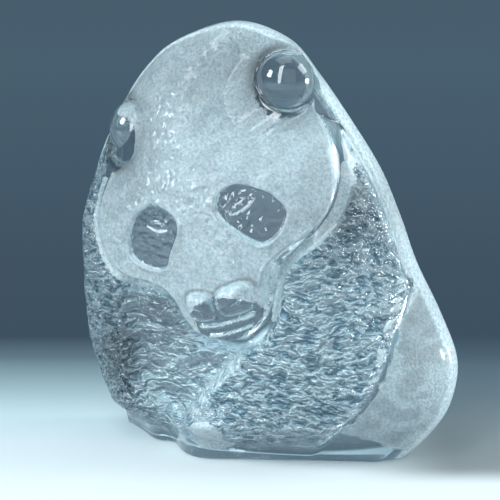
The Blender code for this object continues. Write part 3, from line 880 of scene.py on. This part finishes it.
def textured_glass():
    """The fur's glass, clear but broken up into small lumps, with painted shade in the grooves between
    them.
    """
    material, nodes, links = new_material("textured_glass")
    shader = nodes["Principled BSDF"]
    shader.inputs["Roughness"].default_value = 0.09
    shader.inputs["Transmission Weight"].default_value = 0.86
    shader.inputs["IOR"].default_value = 1.5
    place = nodes.new("ShaderNodeTexCoord")
    stretch = nodes.new("ShaderNodeMapping")
    stretch.inputs["Scale"].default_value = (350, 350, 600)
    stretch.inputs["Rotation"].default_value = (0, math.radians(-6), 0)
    lumps = nodes.new("ShaderNodeTexNoise")
    lumps.inputs["Scale"].default_value = 1
    lumps.inputs["Detail"].default_value = 1.5
    lumps.inputs["Distortion"].default_value = 0.8
    links.new(place.outputs["Object"], stretch.inputs["Vector"])
    links.new(stretch.outputs["Vector"], lumps.inputs["Vector"])
    bump = nodes.new("ShaderNodeBump")
    bump.inputs["Distance"].default_value = 0.0030
    links.new(lumps.outputs["Fac"], bump.inputs["Height"])
    links.new(bump.outputs["Normal"], shader.inputs["Normal"])
    # painted shade: the low parts of the lumps, the grooves, are coloured dark
    shade_and_mottle = nodes.new("ShaderNodeValToRGB")
    shade_and_mottle.color_ramp.elements[0].position = 0.40
    shade_and_mottle.color_ramp.elements[0].color = (0.16, 0.31, 0.40, 1)
    shade_and_mottle.color_ramp.elements[1].position = 0.50
    shade_and_mottle.color_ramp.elements[1].color = (0.84, 0.96, 1.0, 1)
    links.new(lumps.outputs["Fac"], shade_and_mottle.inputs["Fac"])
    fur = nodes.new("ShaderNodeAttribute")
    fur.attribute_name = "fur"
    links.new(fur.outputs["Fac"], bump.inputs["Strength"])
    softened = nodes.new("ShaderNodeMixRGB")
    softened.inputs["Color1"].default_value = (0.70, 0.86, 0.92, 1)
    links.new(fur.outputs["Fac"], softened.inputs["Fac"])
    links.new(shade_and_mottle.outputs["Color"], softened.inputs["Color2"])
    links.new(darkened_by_shade_and_mottle(nodes, links, softened.outputs["Color"]), shader.inputs["Base Color"])
    return material


def frosted_glass():
    """Etched glass with a fine grain, which clears towards its border."""
    material, nodes, links = new_material("frosted_glass")
    shader = nodes["Principled BSDF"]
    shader.inputs["Coat Weight"].default_value = 0.5
    shader.inputs["Coat Roughness"].default_value = 0.13
    shader.inputs["Specular IOR Level"].default_value = 0.3
    shader.inputs["IOR"].default_value = 1.5
    frost_and_highlights = nodes.new("ShaderNodeAttribute")
    frost_and_highlights.attribute_name = "frost_and_highlights"
    spread = nodes.new("ShaderNodeMapRange")
    spread.inputs["To Min"].default_value = 0.05
    spread.inputs["To Max"].default_value = 0.5
    links.new(frost_and_highlights.outputs["Fac"], spread.inputs["Value"])
    links.new(spread.outputs["Result"], shader.inputs["Roughness"])
    # frost from 1 to 2 lets less light through: the rim's heavier frost and the painted highlights
    etch_and_highlight = nodes.new("ShaderNodeMapRange")
    etch_and_highlight.inputs["From Min"].default_value = 1
    etch_and_highlight.inputs["From Max"].default_value = 2
    etch_and_highlight.inputs["To Min"].default_value = 0.62
    etch_and_highlight.inputs["To Max"].default_value = 0.40
    links.new(frost_and_highlights.outputs["Fac"], etch_and_highlight.inputs["Value"])
    links.new(etch_and_highlight.outputs["Result"], shader.inputs["Transmission Weight"])
    place = nodes.new("ShaderNodeTexCoord")
    grain = nodes.new("ShaderNodeTexNoise")
    grain.inputs["Scale"].default_value = 1300
    grain.inputs["Detail"].default_value = 3
    grain.inputs["Roughness"].default_value = 0.7
    links.new(place.outputs["Object"], grain.inputs["Vector"])
    bump = nodes.new("ShaderNodeBump")
    bump.inputs["Distance"].default_value = 0.0007
    links.new(grain.outputs["Fac"], bump.inputs["Height"])
    grainy = nodes.new("ShaderNodeMapRange")
    links.new(frost_and_highlights.outputs["Fac"], grainy.inputs["Value"])
    links.new(grainy.outputs["Result"], bump.inputs["Strength"])
    links.new(bump.outputs["Normal"], shader.inputs["Normal"])
    mottle = nodes.new("ShaderNodeValToRGB")
    mottle.color_ramp.elements[0].position = 0.36
    mottle.color_ramp.elements[0].color = (0.44, 0.62, 0.68, 1)
    mottle.color_ramp.elements[1].position = 0.62
    mottle.color_ramp.elements[1].color = (0.93, 1.0, 1.0, 1)
    links.new(grain.outputs["Fac"], mottle.inputs["Fac"])
    links.new(darkened_by_shade_and_mottle(nodes, links, mottle.outputs["Color"]), shader.inputs["Base Color"])
    return material


# The casting's glasses, and what a face's first corner says of which it has
CLEAR, FROSTED, TEXTURED = range(3)
TEXTURED_FROM_FUR = 0.25
TEXTURED_TO_FROST = 0.25
FROSTED_FROM = 0.04
MOST_CORNERS = 9  # the two large flat faces have more, and stay clear


def finish_faces(mesh):
    """Gives the frosted and furred faces their glass, once the mesh has its final faces."""
    frost_and_highlight_values = np.empty(len(mesh.vertices), np.float32)
    furs = np.empty(len(mesh.vertices), np.float32)
    mesh.attributes["frost_and_highlights"].data.foreach_get("value", frost_and_highlight_values)
    mesh.attributes["fur"].data.foreach_get("value", furs)
    for face in mesh.polygons:
        corner = face.vertices[0]
        if len(face.vertices) > MOST_CORNERS:
            face.material_index = CLEAR
        elif furs[corner] > TEXTURED_FROM_FUR and frost_and_highlight_values[corner] < TEXTURED_TO_FROST:
            face.material_index = TEXTURED
        elif frost_and_highlight_values[corner] > FROSTED_FROM:
            face.material_index = FROSTED


def build_casting():
    mesh = casting_mesh()
    grind_underside(mesh)
    shift = place_over_frame(mesh)
    mesh.materials.append(clear_glass())
    mesh.materials.append(frosted_glass())
    mesh.materials.append(textured_glass())
    finish_faces(mesh)
    piece = bpy.data.objects.new("panda_casting", mesh)
    bpy.context.scene.collection.objects.link(piece)
    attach(piece, "root")
    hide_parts("glass_panda")
    return shift


# The view: the camera turns about a target in the casting
CAMERA_AZIMUTH = math.radians(24)
CAMERA_ELEVATION = math.radians(12)
CAMERA_DISTANCE = 0.560
TARGET = Vector((4 * MM, -15 * MM, 54 * MM))  # before the frame's shift
PIXELS_PER_METRE = 3930  # at the target, in an image 500 pixels wide
IMAGE_WIDTH = 500
SENSOR = 36.0


def add_camera(shift):
    target = TARGET + shift
    out = Vector((
        math.sin(CAMERA_AZIMUTH) * math.cos(CAMERA_ELEVATION),
        -math.cos(CAMERA_AZIMUTH) * math.cos(CAMERA_ELEVATION),
        math.sin(CAMERA_ELEVATION),
    ))
    camera = bpy.data.cameras.new("camera")
    camera.sensor_width = SENSOR
    camera.lens = PIXELS_PER_METRE * CAMERA_DISTANCE * SENSOR / IMAGE_WIDTH
    holder = bpy.data.objects.new("camera", camera)
    holder.location = target + out * CAMERA_DISTANCE
    holder.rotation_euler = (-out).to_track_quat("-Z", "Y").to_euler()
    bpy.context.scene.collection.objects.link(holder)
    bpy.context.scene.camera = holder


# Painted light on the table by distance behind the casting, in metres: how much of it is lit, then its own
# tone
TABLE_PAINTED_LIGHT_AND_TONES = (
    (-0.02, 0.71, (0.88, 0.93, 0.94)),
    (0.012, 0.67, (0.83, 0.92, 0.94)),
    (0.030, 0.64, (0.76, 0.90, 0.94)),
    (0.046, 0.50, (0.74, 0.90, 0.94)),
    (0.062, 0.36, (0.72, 0.90, 0.94)),
    (0.079, 0.23, (0.70, 0.90, 0.94)),
    (0.100, 0.08, (0.70, 0.90, 0.94)),
    (0.125, 0.00, (0.70, 0.90, 0.94)),
)
# The painted glow of the slate beyond the table, by the same distance
SLATE_GLOW = (
    (-0.02, (0.0, 0.0, 0.0)),
    (0.030, (0.010, 0.018, 0.024)),
    (0.062, (0.030, 0.060, 0.085)),
    (0.090, (0.048, 0.088, 0.125)),
    (0.130, (0.040, 0.072, 0.104)),
    (0.240, (0.044, 0.077, 0.114)),
    (0.450, (0.052, 0.094, 0.134)),
    (0.800, (0.059, 0.106, 0.148)),
    (1.400, (0.057, 0.096, 0.136)),
)


def tone_ramp(nodes, links, distance, tones):
    """A colour ramp over the distance behind the casting."""
    near = tones[0][0]
    far = tones[-1][0]
    spread = nodes.new("ShaderNodeMapRange")
    spread.inputs["From Min"].default_value = near
    spread.inputs["From Max"].default_value = far
    links.new(distance, spread.inputs["Value"])
    ramp = nodes.new("ShaderNodeValToRGB")
    elements = ramp.color_ramp.elements
    elements[0].color = (*tones[0][1], 1)
    elements[1].color = (*tones[-1][1], 1)
    for place, colour in tones[1:-1]:
        element = elements.new((place - near) / (far - near))
        element.color = (*colour, 1)
    links.new(spread.outputs["Result"], ramp.inputs["Fac"])
    return ramp.outputs["Color"]


# The table's painted shadow to the right: from where it sets in to where it is full, in metres, and its
# depth
PAINTED_SHADOW_ASIDE = (0.022, 0.056)
PAINTED_SHADOW_BEHIND = (-0.026, -0.010)
PAINTED_SHADOW_SHARE = 0.63

FLOOR = -0.3 * MM  # just under the casting, so that the two faces don't coincide
FLOOR_HALF = 3.0


def add_floor():
    """A pale table whose painted light fades to a glowing slate behind the casting, with a painted shadow
    to the right.
    """
    mesh = bpy.data.meshes.new("floor")
    corners = [(a * FLOOR_HALF, b * FLOOR_HALF, FLOOR) for a, b in ((-1, -1), (1, -1), (1, 1), (-1, 1))]
    mesh.from_pydata(corners, [], [(0, 1, 2, 3)])
    material, nodes, links = new_material("floor")
    shader = nodes["Principled BSDF"]
    shader.inputs["Roughness"].default_value = 0.7
    shader.inputs["Specular IOR Level"].default_value = 0.1
    place = nodes.new("ShaderNodeNewGeometry")
    away = nodes.new("ShaderNodeVectorMath")
    away.operation = "DOT_PRODUCT"
    away.inputs[1].default_value = (-math.sin(CAMERA_AZIMUTH), math.cos(CAMERA_AZIMUTH), 0)
    links.new(place.outputs["Position"], away.inputs[0])
    aside = nodes.new("ShaderNodeVectorMath")
    aside.operation = "DOT_PRODUCT"
    aside.inputs[1].default_value = (math.cos(CAMERA_AZIMUTH), math.sin(CAMERA_AZIMUTH), 0)
    links.new(place.outputs["Position"], aside.inputs[0])
    # a painted shadow, right of the casting and behind its front
    painted_shadow = nodes.new("ShaderNodeMath")
    painted_shadow.operation = "MULTIPLY"
    for slot, (distance, start, end) in enumerate(((aside, *PAINTED_SHADOW_ASIDE), (away, *PAINTED_SHADOW_BEHIND))):
        step = nodes.new("ShaderNodeMapRange")
        step.interpolation_type = "SMOOTHSTEP"
        step.inputs["From Min"].default_value = start
        step.inputs["From Max"].default_value = end
        links.new(distance.outputs["Value"], step.inputs["Value"])
        links.new(step.outputs["Result"], painted_shadow.inputs[slot])
    left_over = nodes.new("ShaderNodeMapRange")
    left_over.inputs["To Min"].default_value = 1
    left_over.inputs["To Max"].default_value = 1 - PAINTED_SHADOW_SHARE
    links.new(painted_shadow.outputs["Value"], left_over.inputs["Value"])
    painted_light = [(place, [share * part for part in colour]) for place, share, colour in TABLE_PAINTED_LIGHT_AND_TONES]
    with_painted_shadow = nodes.new("ShaderNodeVectorMath")
    with_painted_shadow.operation = "SCALE"
    links.new(tone_ramp(nodes, links, away.outputs["Value"], painted_light), with_painted_shadow.inputs[0])
    links.new(left_over.outputs["Result"], with_painted_shadow.inputs["Scale"])
    links.new(with_painted_shadow.outputs["Vector"], shader.inputs["Base Color"])
    # painted glow: the slate beyond the table glows though it is no lamp
    links.new(tone_ramp(nodes, links, away.outputs["Value"], SLATE_GLOW), shader.inputs["Emission Color"])
    shader.inputs["Emission Strength"].default_value = 1.0
    mesh.materials.append(material)
    floor = bpy.data.objects.new("floor", mesh)
    bpy.context.scene.collection.objects.link(floor)


# The lamps, all soft rectangles of the same cool white: name, place, width and height, and power
LAMPS = (
    ("key_left", (-0.43, -0.36, 0.35), (0.20, 0.24), 3.0),
    ("overhead", (-0.05, 0.05, 0.65), (0.40, 0.40), 0.8),
    ("kicker_right", (0.55, 0.30, 0.06), (0.14, 0.14), 4.0),
    ("rim_right", (0.45, 0.22, 0.42), (0.30, 0.30), 1.5),
    ("fill_right", (0.60, -0.70, 0.50), (1.00, 1.00), 2.4),
    ("strip_in_front", (-0.01, -0.72, 0.45), (0.20, 1.30), 8.4),
)
LAMPS_AIM = Vector((0, 0, 0.05))
COOL_WHITE = (0.88, 0.96, 1.0)

# The studio's own tone by height over the horizon, as the sine of the angle
SKY_TONES = (
    (-0.02, (0.050, 0.085, 0.120)),
    (0.15, (0.062, 0.105, 0.145)),
    (0.40, (0.120, 0.185, 0.240)),
    (0.70, (0.220, 0.310, 0.370)),
    (1.00, (0.300, 0.390, 0.450)),
)


def add_lights():
    for name, place, size, power in LAMPS:
        light = bpy.data.lights.new(name, "AREA")
        light.shape = "RECTANGLE"
        light.size, light.size_y = size
        light.energy = power
        light.color = COOL_WHITE
        holder = bpy.data.objects.new(name, light)
        holder.location = place
        holder.rotation_euler = (LAMPS_AIM - Vector(place)).to_track_quat("-Z", "Y").to_euler()
        bpy.context.scene.collection.objects.link(holder)
    world = bpy.data.worlds.new("world")
    bpy.context.scene.world = world
    world.use_nodes = True
    nodes = world.node_tree.nodes
    links = world.node_tree.links
    place = nodes.new("ShaderNodeTexCoord")
    split = nodes.new("ShaderNodeSeparateXYZ")
    links.new(place.outputs["Generated"], split.inputs[0])
    links.new(tone_ramp(nodes, links, split.outputs["Z"], SKY_TONES), nodes["Background"].inputs["Color"])


bpy.context.scene.view_settings.view_transform = "Standard"
SHIFT = build_casting()
add_camera(SHIFT)
add_floor()
add_lights()
